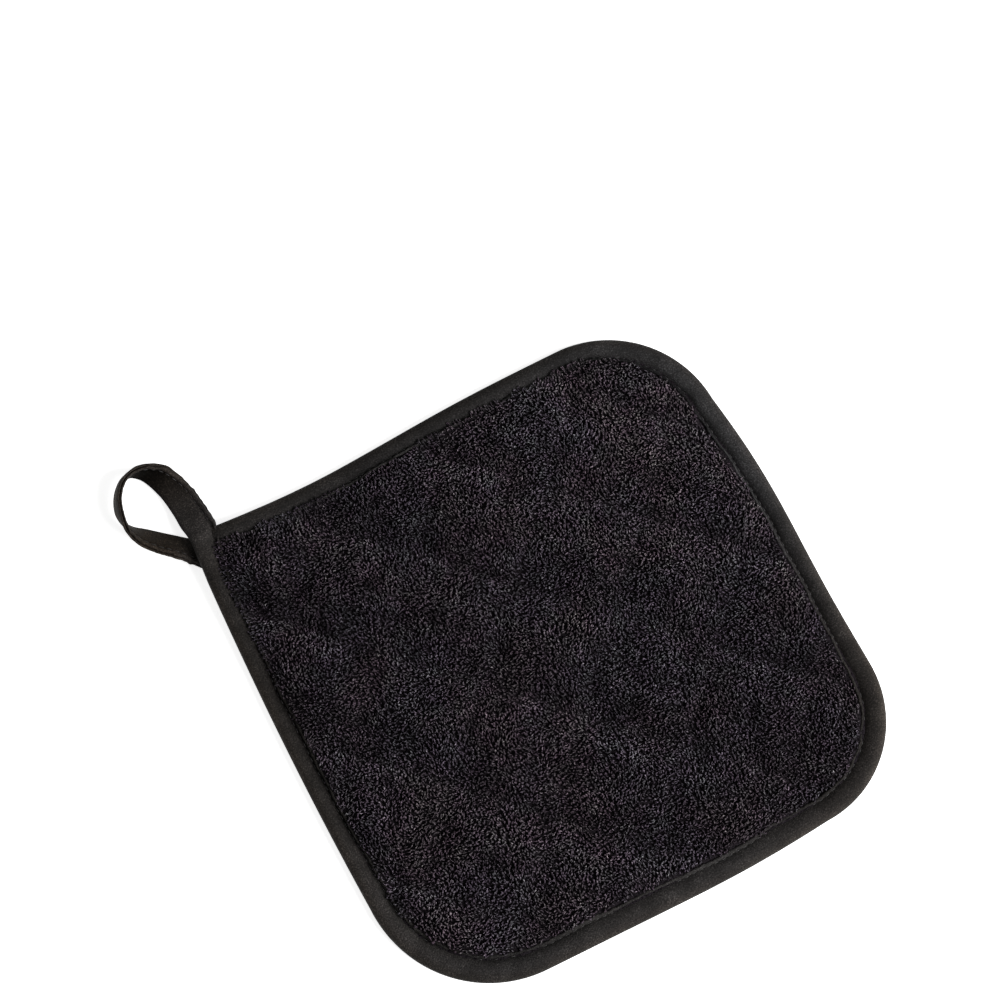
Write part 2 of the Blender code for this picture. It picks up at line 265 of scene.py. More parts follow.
# The camera that fits the pad's outline in the picture.
CAMERA_AT = (-0.06438, -0.08191, 0.74041)
CAMERA_AZIMUTH = -27.876
CAMERA_ELEVATION = 77.752
CAMERA_LENS = 72.0
SENSOR_WIDTH = 36.0

# The key light's place to the right, away and up, as the camera is turned.
KEY_PLACE = (0.90, -0.28, 0.66)
KEY_SIZE = 0.9
KEY_POWER = 27.0
SURROUND = 0.25
FLOOR_GLOW = 0.75
FLOOR_SIZE = 40.0


def unit(vectors):
    """Vectors made one long."""
    return vectors / np.linalg.norm(vectors, axis=-1, keepdims=True)


def smooth_step(values):
    """A ramp from 0 to 1 with level ends."""
    t = np.clip(values, 0.0, 1.0)
    return t * t * (3.0 - 2.0 * t)


def unevenness(x, y, size, seed):
    """Smooth hills and hollows of about -1 to 1, some size apart."""
    random = np.random.default_rng(seed)
    waves = 12
    total = np.zeros(np.shape(x))
    for _ in range(waves):
        heading, phase = random.uniform(0.0, 2.0 * math.pi, 2)
        rate = 2.0 * math.pi / size * random.uniform(0.55, 1.6)
        total += np.sin(rate * (x * math.cos(heading) + y * math.sin(heading)) + phase)
    return total / math.sqrt(waves)


# ---- The pad's outline and heights ----

def corner_arc(point, before, after, radius):
    """The round of one corner."""
    if radius <= 0.0:
        return point[None]
    back, ahead = unit(before - point), unit(after - point)
    half_angle = math.acos(back @ ahead) / 2.0
    centre = point + unit(back + ahead) * radius / math.sin(half_angle)
    spoke = point + back * radius / math.tan(half_angle) - centre
    turns = -(math.pi - 2.0 * half_angle) * np.linspace(0.0, 1.0, ARC_POINTS + 1)
    cosines, sines = np.cos(turns), np.sin(turns)
    arms = (spoke[0] * cosines - spoke[1] * sines, spoke[0] * sines + spoke[1] * cosines)
    return centre + np.stack(arms, axis=1)


def corner_arcs(inset, loop_round):
    """The rounds of the four corners, with every side moved in by inset."""
    points = CORNERS[:, :2] * MM
    ahead = unit(np.roll(points, -1, axis=0) - points)
    inward = np.stack((ahead[:, 1], -ahead[:, 0]), axis=1)
    middle = inward + np.roll(inward, 1, axis=0)
    moved = points + middle * (2.0 * inset / (middle ** 2).sum(axis=1, keepdims=True))
    rounds = [loop_round] + [row[2] * MM - inset for row in CORNERS[1:]]
    count = len(moved)
    return [corner_arc(moved[i], moved[i - 1], moved[(i + 1) % count], rounds[i])
            for i in range(count)]


SIDE_ENDS = corner_arcs(0.0, 0.0)


def side_shift(side, points):
    """How the bow and sway of a side move the points beside it."""
    start, end = SIDE_ENDS[side][-1], SIDE_ENDS[(side + 1) % len(SIDE_ENDS)][0]
    along = end - start
    t = np.clip((points - start) @ along / (along @ along), 0.0, 1.0)
    bow, sway = CORNERS[side][3:5] * MM
    out = bow * 4.0 * t * (1.0 - t) + sway * np.sin(2.0 * math.pi * t)
    return out[:, None] * unit(np.array((-along[1], along[0])))


def pad_outline(inset, loop_round):
    """The pad's outline, clockwise from the loop's corner, moved inwards."""
    arcs = corner_arcs(inset, loop_round)
    outline = []
    for i, arc in enumerate(arcs):
        outline.append(arc + side_shift(i - 1, arc) + side_shift(i, arc))
        steps = np.linspace(0.0, 1.0, SIDE_POINTS + 1)[1:-1, None]
        side = arc[-1] + (arcs[(i + 1) % len(arcs)][0] - arc[-1]) * steps
        outline.append(side + side_shift(i, side))
    return np.concatenate(outline)


def polar_table(outline):
    """The outline's angles and radii about the pad's middle, in order."""
    angles = np.arctan2(outline[:, 1], outline[:, 0])
    order = np.argsort(angles)
    return angles[order], np.linalg.norm(outline, axis=1)[order]


RING_TABLES = [polar_table(pad_outline(inset * MM, loop * MM)) for inset, loop in RINGS]


def inset_at(x, y):
    """How far in from the pad's edge a place is, and how far out from the middle."""
    angle, radius = np.arctan2(y, x), np.hypot(x, y)
    reach = [np.interp(angle, *table, period=2.0 * math.pi) for table in RING_TABLES]
    inset = np.minimum(reach[0] - radius, 0.0)
    for i in range(len(RINGS) - 1):
        share = np.clip((reach[i] - radius) / (reach[i] - reach[i + 1]), 0.0, 1.0)
        inset = inset + share * (RINGS[i + 1][0] - RINGS[i][0]) * MM
    return inset, np.minimum(radius / reach[-1], 1.0)


def lift_at(x, y):
    """How far the pad is raised over the strap's end at the loop's corner."""
    away = np.hypot(x - CORNERS[0][0] * MM, y - CORNERS[0][1] * MM)
    return CORNER_LIFT * (1.0 - smooth_step(away / LIFT_REACH))


def seam_distances(x, y):
    """How far a place is from the nearest quilting seam of each direction."""
    return [np.abs(u % DIAMOND - DIAMOND / 2.0) / math.sqrt(2.0) for u in (x + y, x - y)]


def seam_distance(x, y):
    """How far a place is from the nearest quilting seam."""
    return np.minimum(*seam_distances(x, y))


def tape_shows_at(x, y):
    """Beside a place, the tape's reach, the pile's lap, the tape's tones of painted light and shade, and
    its warmth.
    """
    degrees, *columns = np.array(TAPE_SHOWS).T
    angle = np.degrees(np.arctan2(y, x))
    reach, lap, *tones = (np.interp(angle, degrees, row, period=360.0) for row in columns)
    return reach * MM, lap * MM, tones


def terry_top_at(x, y):
    """The height of the pile's top."""
    inset, share = inset_at(x, y)
    top = np.interp(inset, np.array(TERRY_INSETS) * MM, np.array(TERRY_TOPS) * MM)
    inner = smooth_step((inset - 8.0 * MM) / (5.0 * MM))
    slopes = [np.sin(np.minimum(far / TERRY_REACH, 1.0) * math.pi / 2.0)
              for far in seam_distances(x, y)]
    dip = np.maximum(TERRY_DIP * (1.0 - slopes[0]), TERRY_CROSS_DIP * (1.0 - slopes[1]))
    crown = TERRY_CROWN * (1.0 - share ** 2)
    waves = 0.25 * MM * unevenness(x, y, 24.0 * MM, 3)
    return top + inner * (crown - dip + waves) + lift_at(x, y)


def terry_cloth_at(x, y):
    """The height of the ground cloth that the pile stands on."""
    inset, _ = inset_at(x, y)
    return terry_top_at(x, y) - PILE_DEPTH * smooth_step((inset - 6.5 * MM) / (4.5 * MM))


def back_low_at(x, y):
    """The height of the silver back's low face, before its cloth settles."""
    inset, _ = inset_at(x, y)
    edge = BACK_EDGE * (1.0 - smooth_step((inset - 8.5 * MM) / (10.0 * MM)))
    dip = BACK_DIP * (1.0 - np.minimum(seam_distance(x, y) / BACK_REACH, 1.0)) ** 2
    inner = smooth_step((inset - 6.0 * MM) / (6.0 * MM))
    return np.maximum(edge, dip * inner) + lift_at(x, y)


# ---- Meshes ----

def new_piece(name, mesh):
    """An object at the origin that shows a mesh."""
    piece = bpy.data.objects.new(name, mesh)
    bpy.context.scene.collection.objects.link(piece)
    return piece


def smooth_mesh(name, points, faces):
    """A smooth mesh of points and faces given as arrays."""
    mesh = bpy.data.meshes.new(name)
    mesh.from_pydata(points.tolist(), [], faces.tolist())
    mesh.shade_smooth()
    return mesh


def tubes_mesh(name, lines, radii, sides):
    """Many short closed tubes as one mesh: lines is tubes x points x 3."""
    tubes, points, _ = lines.shape
    along = unit(np.gradient(lines, axis=1))
    chord = unit(lines[:, -1] - lines[:, 0])[:, None]
    lifted = np.broadcast_to(np.array((0.0, 0.0, 1.0)), chord.shape)
    side = unit(np.cross(lifted, chord) + 1e-6)
    side = unit(side - along * (side * along).sum(axis=2, keepdims=True))
    normal = np.cross(along, side)
    turns = np.arange(sides) * 2.0 * math.pi / sides + math.pi / sides
    ring = (side[:, :, None] * np.cos(turns)[:, None] + normal[:, :, None] * np.sin(turns)[:, None])
    verts = (lines[:, :, None] + ring * radii[:, :, None, None]).reshape(-1, 3)
    starts = np.arange(tubes)[:, None, None] * points * sides
    rows = starts + np.arange(points - 1)[None, :, None] * sides
    here = np.arange(sides)[None, None, :]
    there = (here + 1) % sides
    walls = np.stack((rows + here, rows + there, rows + there + sides, rows + here + sides), axis=-1)
    first = starts[:, 0] + np.arange(sides)[::-1]
    last = starts[:, 0] + np.arange(sides) + (points - 1) * sides
    corners = np.concatenate((walls.ravel(), first.ravel(), last.ravel())).astype(np.int32)
    wall_starts = np.arange(0, walls.size, 4)
    face_starts = np.concatenate((wall_starts, np.arange(walls.size, len(corners), sides)))
    mesh = bpy.data.meshes.new(name)
    mesh.vertices.add(len(verts))
    mesh.vertices.foreach_set("co", verts.ravel())
    mesh.loops.add(len(corners))
    mesh.loops.foreach_set("vertex_index", corners)
    mesh.polygons.add(len(face_starts))
    mesh.polygons.foreach_set("loop_start", face_starts.astype(np.int32))
    mesh.update(calc_edges=True)
    mesh.shade_smooth()
    return mesh


def grid_over_pad(step):
    """Points of a square grid on the pad, and its faces, counter-clockwise from above."""
    half = int(math.ceil(GRID_HALF / step))
    ticks = np.arange(-half, half + 1) * step
    x, y = (values.ravel() for values in np.meshgrid(ticks, ticks, indexing="ij"))
    keep = inset_at(x, y)[0] > PANEL_EDGE
    count = len(ticks)
    number = np.full(count * count, -1)
    number[keep] = np.arange(keep.sum())
    grid = number.reshape(count, count)
    quads = np.stack((grid[:-1, :-1], grid[1:, :-1], grid[1:, 1:], grid[:-1, 1:]), axis=-1)
    quads = quads.reshape(-1, 4)
    return x[keep], y[keep], quads[(quads >= 0).all(axis=1)]


def panel_mesh(name, face_points, quads, other_height):
    """A closed panel from its shaped face and the height of its hidden side."""
    mesh = smooth_mesh(name, face_points, quads)
    bm = bmesh.new()
    bm.from_mesh(mesh)
    loose = [v for v in bm.verts if not v.link_faces]
    bmesh.ops.delete(bm, geom=loose, context="VERTS")
    extruded = bmesh.ops.extrude_face_region(bm, geom=bm.faces[:], use_keep_orig=True)
    others = [v for v in extruded["geom"] if isinstance(v, bmesh.types.BMVert)]
    places = np.array([v.co[:] for v in others])
    for vert, height in zip(others, other_height(places[:, 0], places[:, 1])):
        vert.co.z = height
    bmesh.ops.recalc_face_normals(bm, faces=bm.faces[:])
    for face in bm.faces:
        face.smooth = True
    bm.to_mesh(mesh)
    bm.free()
    return mesh


# ---- The tape ----

def through_rows(rows, steps):
    """A smooth run through the rows of a table, steps for each interval."""
    table = np.array(rows)
    last = len(table) - 1
    t = (np.arange(steps) / steps)[:, None]
    run = []
    for i in range(last):
        p0, p1 = table[max(i - 1, 0)], table[i]
        p2, p3 = table[i + 1], table[min(i + 2, last)]
        run.append(0.5 * (2.0 * p1 + (p2 - p0) * t + (2.0 * p0 - 5.0 * p1 + 4.0 * p2 - p3) * t ** 2
                          + (3.0 * (p1 - p2) + p3 - p0) * t ** 3))
    return np.concatenate(run + [table[last:]])


def lengths_along(points):
    """How far along a run of points each of them is."""
    steps = np.linalg.norm(np.diff(points, axis=0), axis=1)
    return np.concatenate(((0.0,), np.cumsum(steps)))


def tape_rings(folds, opens, wraps, seed):
    """The tape's section at each station between its fold and its open edges."""
    middles = (folds + opens) / 2.0
    run = lengths_along(middles)
    along = unit(np.gradient(middles, axis=0))
    across = opens - folds
    width = np.linalg.norm(across, axis=1)
    across = across / width[:, None]
    normal = unit(np.cross(across, along))
    flat_share, flat_across, flat_height = TAPE_SECTION.T[:3]
    wrap_share, wrap_across, wrap_height, pull, loose = TAPE_SECTION.T[3:]
    wrap = np.clip(wraps, 0.0, 1.0)[:, None]
    width = (width + WIDTH_WAVER * unevenness(run, 0.0 * run, 21.0 * MM, seed))[:, None]
    flat_place = flat_share * width + flat_across * MM
    wrap_place = wrap_share * width + wrap_across * MM
    waver = LIP_WAVER * unevenness(run, 0.0 * run, 3.4 * MM, seed + 2)[:, None]
    place = flat_place + (wrap_place - flat_place) * wrap + waver * loose
    height = (flat_height + (wrap_height - flat_height) * wrap) * MM - 0.6 * waver * loose
    draw = STITCH_DRAW * (0.5 - 0.5 * np.cos(2.0 * math.pi * run / EDGE_PITCH))[:, None]
    swell = 1.0 + TAPE_SWELL * unevenness(run, 0.0 * run, 13.0 * MM, seed + 1)[:, None]
    height = height * swell - draw * pull
    lower = -(height[:, -2:0:-1] * UNDERSIDE)
    beyond = LOWER_LIP * (1.0 - wrap) * (1.0 - smooth_step((np.arange(len(pull)) - STITCH_ROW) / 4.0))
    place = np.concatenate((place, (place + beyond)[:, -2:0:-1]), axis=1)
    height = np.concatenate((height, lower), axis=1)
    rings = folds[:, None] + across[:, None] * place[..., None] + normal[:, None] * height[..., None]
    rings[..., 2] += wrap * lift_at(rings[..., 0], rings[..., 1])
    rings[..., 2] = np.maximum(rings[..., 2], 0.0)
    return rings, run


def tape_mesh(name, rings, run, tones):
    """A closed mesh of the tape through its rings, with its cloth's UV map and its tones of painted
    light and shade.
    """
    stations, count, _ = rings.shape
    here = np.arange(count)
    there = (here + 1) % count
    rows = (np.arange(stations - 1) * count)[:, None]
    walls = np.stack((rows + here, rows + there, rows + count + there, rows + count + here), axis=-1)
    faces = [list(face) for face in walls.reshape(-1, 4).tolist()]
    mesh = bpy.data.meshes.new(name)
    last = (stations - 1) * count
    faces.append(list(range(count))[::-1])
    faces.append(list(range(last, last + count)))
    mesh.from_pydata(rings.reshape(-1, 3).tolist(), [], faces)
    bm = bmesh.new()
    bm.from_mesh(mesh)
    bmesh.ops.recalc_face_normals(bm, faces=bm.faces[:])
    bm.to_mesh(mesh)
    bm.free()
    mesh.shade_smooth()
    mesh.set_sharp_from_angle(angle=math.radians(75.0))
    round_it = np.concatenate((rings, rings[:, :1]), axis=1)
    steps = np.linalg.norm(np.diff(round_it, axis=1), axis=2).mean(axis=0)
    across = np.concatenate(((0.0,), np.cumsum(steps)))[:count]
    corner = np.zeros(len(mesh.loops), dtype=np.int32)
    mesh.loops.foreach_get("vertex_index", corner)
    places = np.stack((across[corner % count], run[corner // count]), axis=1)
    layer = mesh.uv_layers.new(name="cloth")
    layer.data.foreach_set("uv", places.astype(np.float32).ravel())
    tint = mesh.attributes.new("tone", "FLOAT_VECTOR", "POINT")
    tint.data.foreach_set("vector", tones.astype(np.float32).ravel())
    return mesh


def binding_rings():
    """The tape round the pad, from beside the loop to the loop's root."""
    outline = pad_outline(0.0, 0.0)
    after_start = np.flatnonzero(outline[:, 0] > BINDING_START_X)[0]
    before_end = np.flatnonzero(outline[:, 1] < BINDING_END_Y)[-1]
    closed = np.concatenate((outline, outline[:1]))
    p, q = closed[after_start - 1], closed[after_start]
    start = p + (q - p) * (BINDING_START_X - p[0]) / (q[0] - p[0])
    p, q = closed[before_end], closed[before_end + 1]
    end = p + (q - p) * (BINDING_END_Y - p[1]) / (q[1] - p[1])
    path = np.concatenate((start[None], closed[after_start:before_end + 1], end[None]))
    run = lengths_along(path)
    stations = np.linspace(0.0, run[-1], int(run[-1] / TAPE_STEP))
    edge = np.stack([np.interp(stations, run, path[:, k]) for k in (0, 1)], axis=1)
    along = unit(np.gradient(edge, axis=0))
    inward = np.stack((along[:, 1], -along[:, 0]), axis=1)
    reach, _, (tone, outer_edge_light, painted_groove, painted_lip, warmth) = tape_shows_at(edge[:, 0], edge[:, 1])
    level = np.full((len(edge), 1), WRAPPED_MIDDLE)
    folds = np.concatenate((edge, level), axis=1)
    opens = np.concatenate((edge + inward * reach[:, None], level), axis=1)
    rings, run = tape_rings(folds, opens, np.ones(len(edge)), 11)
    tucked = TUCKED_THICK + (1.0 - TUCKED_THICK) * smooth_step(run / TUCK_RUN)
    middle = WRAPPED_MIDDLE + lift_at(rings[..., 0], rings[..., 1])
    rings[..., 2] = middle + (rings[..., 2] - middle) * tucked[:, None]
    from_fold = np.linalg.norm(rings[..., :2] - edge[:, None], axis=2)
    outer = 1.0 - smooth_step(from_fold / OUTER_REACH)
    # Painted light and shade: the tape's tone by side, painted light and shade along its outer edge, and
    # the painted tones of its groove and lip.
    tones = tone[:, None] * (1.0 + outer_edge_light[:, None] * outer) * round_section(painted_groove, painted_lip)
    return rings, run, tinted(tones, warmth[:, None] + EDGE_WARMTH * outer)


def round_section(painted_groove, painted_lip):
    """The painted light and shade of the groove and the lip, spread round the tape's section."""
    upper = 1.0 + (painted_groove - 1.0)[:, None] * GROOVE_SHARE + (painted_lip - 1.0)[:, None] * LIP_SHARE
    return np.concatenate((upper, upper[:, -2:0:-1]), axis=1)


def tinted(tones, warmth):
    """Tones as colours, redder and less blue with warmth."""
    tints = np.stack((1.0 + WARM_RED * warmth, np.ones(warmth.shape), 1.0 - warmth), axis=-1)
    return tones[..., None] * tints


def strap_rings(binding_end):
    """The strap's rings, from the binding's last one to its cut end under the corner."""
    table = through_rows(LOOP, LOOP_STEPS)
    rings, run = tape_rings(table[:, 0:3] * MM, table[:, 3:6] * MM, table[:, 6], 29)
    step = binding_end - rings[0]
    fading = 1.0 - smooth_step(np.arange(len(rings)) / LOOP_STEPS)
    upper = np.arange(rings.shape[1]) < len(TAPE_SECTION)
    from_tack = (run[-1] - TACK_BACK - run) / TACK_WIDE
    rings[..., 2] += TACK_PULL * np.exp(-from_tack ** 2)[:, None] * (rings[..., 2] < 1.0 * MM)
    even = np.ones(len(rings))
    lips = round_section(even, 2.0 * even) - 1.0
    # Painted light and shade on the strap: the tone of each face along it, its lips painted lighter on
    # the loop, and painted shade in its groove.
    tones = np.where(upper, table[:, 7:8], table[:, 8:9])
    tones = tones + (STRAP_PAINTED_LIP - tones) * lips * (1.0 - table[:, 6:7])
    tones = tones * round_section(STRAP_PAINTED_GROOVE * even, even)
    return rings + step * fading[:, None, None], run, tinted(tones, table[:, 9:10])


def stitch_lines(line, outward, pitch, share, rise):
    """Centre lines of the stitches along a seam."""
    run = lengths_along(line)
    starts = np.arange(0.5 * pitch, run[-1] - pitch, pitch)
    places = starts[:, None] + np.linspace(0.0, pitch * share, 4)
    points = np.stack([np.interp(places, run, line[:, k]) for k in range(3)], axis=-1)
    facing = np.stack([np.interp(places, run, outward[:, k]) for k in range(3)], axis=-1)
    heights = np.array((-0.12, rise, rise, -0.12)) * MM
    return points + facing * heights[:, None]


def tack_lines(rings, run):
    """Centre lines of the crossing stitches over the strap's end, on its low face."""
    station = np.searchsorted(run, run[-1] - TACK_BACK)
    open_edge, fold = rings[station, OPEN_ROW], rings[station, len(TAPE_SECTION) - 1]
    along = unit(rings[-1] - rings[-3]).mean(axis=0)
    share = np.linspace(0.03, 0.97, TACK_STITCHES + 1)[:, None]
    sway = TACK_WIDE * np.where(np.arange(TACK_STITCHES + 1) % 2, 0.5, -0.5)[:, None]
    points = fold + (open_edge - fold) * share + along * sway
    points[:, 2] = 0.30 * MM
    steps = np.linspace(0.0, 1.0, 4)[:, None]
    lines = points[:-1, None] + (points[1:] - points[:-1])[:, None] * steps
    lines[:, (0, -1), 2] += 0.30 * MM
    return lines


def fray_lines(rings, random):
    """Centre lines of the fine threads that stand out of the strap's cut end."""
    fold, open_edge = rings[-1, len(TAPE_SECTION) - 1], rings[-1, OPEN_ROW]
    along = unit(rings[-1] - rings[-3]).mean(axis=0)
    across = unit(open_edge - fold)
    share = random.uniform(0.02, 0.98, FRAY_THREADS)[:, None]
    start = fold + (open_edge - fold) * share - along * 0.8 * MM
    start[:, 2] = random.uniform(0.3, 1.7, FRAY_THREADS) * MM
    t = np.linspace(0.0, 1.0, 5)[:, None]
    long = random.uniform(1.0, 3.2, FRAY_THREADS)[:, None, None] * MM
    sideways = random.normal(0.0, 0.45, (FRAY_THREADS, 1, 1)) * MM * t ** 2
    bend = random.normal(0.0, 0.25, (FRAY_THREADS, 1, 1)) * MM * np.sin(math.pi * t)
    lines = start[:, None] + along * long * t + across * (sideways + bend)
    lines[..., 2] += random.normal(0.0, 0.3, (FRAY_THREADS, 1)) * MM * t[:, 0] ** 2
    lines[..., 2] = np.maximum(lines[..., 2], 0.15 * MM)
    return lines


def seam_on_tape(rings, row, faces_up):
    """The stitch line on one face of the tape, and which way that face looks."""
    count = rings.shape[1]
    index = row if faces_up else count - row
    line = rings[:, index]
    side = rings[:, index + 1] - rings[:, index - 1]
    along = np.gradient(line, axis=0)
    outward = unit(np.cross(side, along))
    inside = rings.mean(axis=1) - line
    outward *= -np.sign((outward * inside).sum(axis=1, keepdims=True))
    return line, outward


def quilt_seams():
    """The quilting seams on the silver back, as lines that end under the tape."""
    t = np.arange(-0.15, 0.15, 1.0 * MM)
    seams = []
    for turn in (1.0, -1.0):
        for k in range(-4, 4):
            offset = (k + 0.5) * DIAMOND
            x, y = t + offset / 2.0, turn * (offset / 2.0 - t)
            inside = inset_at(x, y)[0] > tape_shows_at(x, y)[0]
            if inside.sum() > 8:
                seams.append((x[inside], y[inside]))
    return seams


# ---- Finishes ----

def new_material(name, colour, roughness):
    """A material, its nodes and its shader with an even colour and roughness."""
    material = bpy.data.materials.new(name)
    material.use_nodes = True
    shader = material.node_tree.nodes["Principled BSDF"]
    shader.inputs["Base Color"].default_value = (*colour, 1.0)
    shader.inputs["Roughness"].default_value = roughness
    shader.inputs["Metallic"].default_value = 0.0
    return material, material.node_tree, shader


def add_math(tree, operation, first, second=0.0):
    """A Math node of two numbers or sockets; gives its result."""
    node = tree.nodes.new("ShaderNodeMath")
    node.operation = operation
    for socket, value in zip(node.inputs, (first, second)):
        if isinstance(value, float):
            socket.default_value = value
        else:
            tree.links.new(value, socket)
    return node.outputs[0]


def add_noise(tree, place, size, detail=2.0):
    """Noise with grains of about the given size, from 0 to 1."""
    node = tree.nodes.new("ShaderNodeTexNoise")
    node.inputs["Scale"].default_value = 1.0 / size
    node.inputs["Detail"].default_value = detail
    tree.links.new(place, node.inputs["Vector"])
    return node.outputs["Fac"]


def add_ramp(tree, value, stops):
    """A colour ramp through stops of (place, colour)."""
    node = tree.nodes.new("ShaderNodeValToRGB")
    ramp = node.color_ramp
    while len(ramp.elements) < len(stops):
        ramp.elements.new(0.5)
    for element, (place, colour) in zip(ramp.elements, stops):
        element.position = place
        element.color = (*colour, 1.0)
    tree.links.new(value, node.inputs["Fac"])
    return node.outputs["Color"]


def add_product(tree, colour, number):
    """A colour times a number or another colour."""
    node = tree.nodes.new("ShaderNodeVectorMath")
    node.operation = "MULTIPLY"
    tree.links.new(colour, node.inputs[0])
    tree.links.new(number, node.inputs[1])
    return node.outputs["Vector"]


def add_bump(tree, shader, height, depth):
    """Bump from a height of 0 to 1, of the given depth."""
    node = tree.nodes.new("ShaderNodeBump")
    node.inputs["Distance"].default_value = depth
    tree.links.new(height, node.inputs["Height"])
    tree.links.new(node.outputs["Normal"], shader.inputs["Normal"])


def object_place(tree):
    """Object coordinates."""
    return tree.nodes.new("ShaderNodeTexCoord").outputs["Object"]


def split_place(tree, place):
    """The parts of a place."""
    node = tree.nodes.new("ShaderNodeSeparateXYZ")
    tree.links.new(place, node.inputs["Vector"])
    return node.outputs


def yarn_material():
    """Black cotton yarn: fibres, and each loop's tone, which carries painted light and shade as well as
    chance.
    """
    material, tree, shader = new_material("terry_yarn", (0.05, 0.045, 0.05), 0.7)
    attribute = tree.nodes.new("ShaderNodeAttribute")
    attribute.attribute_name = "shade"
    place = object_place(tree)
    fibres = add_math(tree, "SUBTRACT", add_noise(tree, place, 0.27 * MM, 3.0), 0.5)
    tone = add_math(tree, "MULTIPLY_ADD", fibres, 2.0)
    tree.links.new(attribute.outputs["Fac"], tone.node.inputs[2])
    colour = add_ramp(tree, tone, (
        (0.0, (0.004, 0.003, 0.004)),
        (0.25, (0.014, 0.011, 0.013)),
        (0.55, (0.0555, 0.046, 0.0535)),
        (0.90, (0.112, 0.0955, 0.108)),
        (1.0, (0.28, 0.26, 0.26)),
    ))
    tint = add_ramp(tree, add_noise(tree, place, 5.0 * MM), (
        (0.35, (0.94, 1.02, 0.96)),
        (0.65, (1.08, 0.95, 1.08)),
    ))
    drift = add_ramp(tree, add_noise(tree, place, 24.0 * MM), (
        (0.38, (1.04, 0.98, 0.98)),
        (0.62, (0.96, 1.00, 1.06)),
    ))
    tint = add_product(tree, tint, drift)
    tree.links.new(add_product(tree, colour, tint), shader.inputs["Base Color"])
    shader.inputs["Specular IOR Level"].default_value = 0.10
    add_bump(tree, shader, fibres, 0.15 * MM)
    return material


def ground_material():
    """The terry's ground cloth under its pile, darker than its yarn as painted shade between the loops.
    """
    material, tree, shader = new_material("terry_ground", (0.003, 0.003, 0.003), 0.95)
    grain = add_noise(tree, object_place(tree), 0.7 * MM, 3.0)
    colour = add_ramp(tree, grain, ((0.35, (0.002, 0.0015, 0.002)), (0.7, (0.019, 0.0155, 0.0185))))
    tree.links.new(colour, shader.inputs["Base Color"])
    shader.inputs["Specular IOR Level"].default_value = 0.03
    add_bump(tree, shader, grain, 0.5 * MM)
    return material


def tape_material(name, dark, light):
    """Black cotton twill tape: its diagonal weave, soft patches and lint, times its tones of painted
    light and shade.
    """
    material, tree, shader = new_material(name, dark, 0.74)
    place = tree.nodes.new("ShaderNodeUVMap").outputs["UV"]
    across, along, _ = split_place(tree, place)
    rate = 2.0 * math.pi / TWILL_PITCH
    ribs = add_math(tree, "SINE", add_math(tree, "MULTIPLY", add_math(tree, "ADD", across, along), rate))
    yarns = add_math(tree, "SINE", add_math(tree, "MULTIPLY", across, 2.0 * rate))
    grain = add_noise(tree, object_place(tree), 0.5 * MM, 3.0)
    patches = add_noise(tree, object_place(tree), 7.0 * MM)
    weave = add_math(tree, "MULTIPLY_ADD", ribs, 0.22)
    weave.node.inputs[2].default_value = 0.5
    weave = add_math(tree, "ADD", weave, add_math(tree, "MULTIPLY", yarns, 0.10))
    tone = add_math(tree, "ADD", add_math(tree, "MULTIPLY", grain, 0.78),
                    add_math(tree, "MULTIPLY", patches, 0.22))
    tone = add_math(tree, "ADD", tone, add_math(tree, "MULTIPLY", weave, 0.16))
    lint = tuple(2.6 * value for value in light)
    colour = add_ramp(tree, tone, ((0.47, dark), (0.66, light), (0.78, lint)))
    # The tone attribute is painted light and shade; the tape's reflection is scaled by it too.
    painted_light_tone = tree.nodes.new("ShaderNodeAttribute")
    painted_light_tone.attribute_name = "tone"
    colour = add_product(tree, colour, painted_light_tone.outputs["Vector"])
    tree.links.new(colour, shader.inputs["Base Color"])
    glint = add_math(tree, "MULTIPLY", painted_light_tone.outputs["Fac"], 0.12)
    tree.links.new(glint, shader.inputs["Specular IOR Level"])
    height = add_math(tree, "ADD", weave, add_math(tree, "MULTIPLY", grain, 1.1))
    add_bump(tree, shader, height, 0.10 * MM)
    return material


def seam_marks(tree, x, y):
    """1 in the needle holes along the quilting seams, and 0 elsewhere."""
    marks = None
    for first, second, sign in ((x, y, "ADD"), (x, y, "SUBTRACT")):
        other = "SUBTRACT" if sign == "ADD" else "ADD"
        across = add_math(tree, "WRAP", add_math(tree, sign, first, second), DIAMOND)
        across.node.inputs[2].default_value = 0.0
        across = add_math(tree, "ABSOLUTE", add_math(tree, "SUBTRACT", across, DIAMOND / 2.0))
        along = add_math(tree, "PINGPONG", add_math(tree, other, first, second),
                         QUILT_PITCH * math.sqrt(0.5))
        near = add_math(tree, "LESS_THAN", add_math(tree, "ADD", across, along), 0.55 * MM)
        marks = near if marks is None else add_math(tree, "MAXIMUM", marks, near)
    return marks


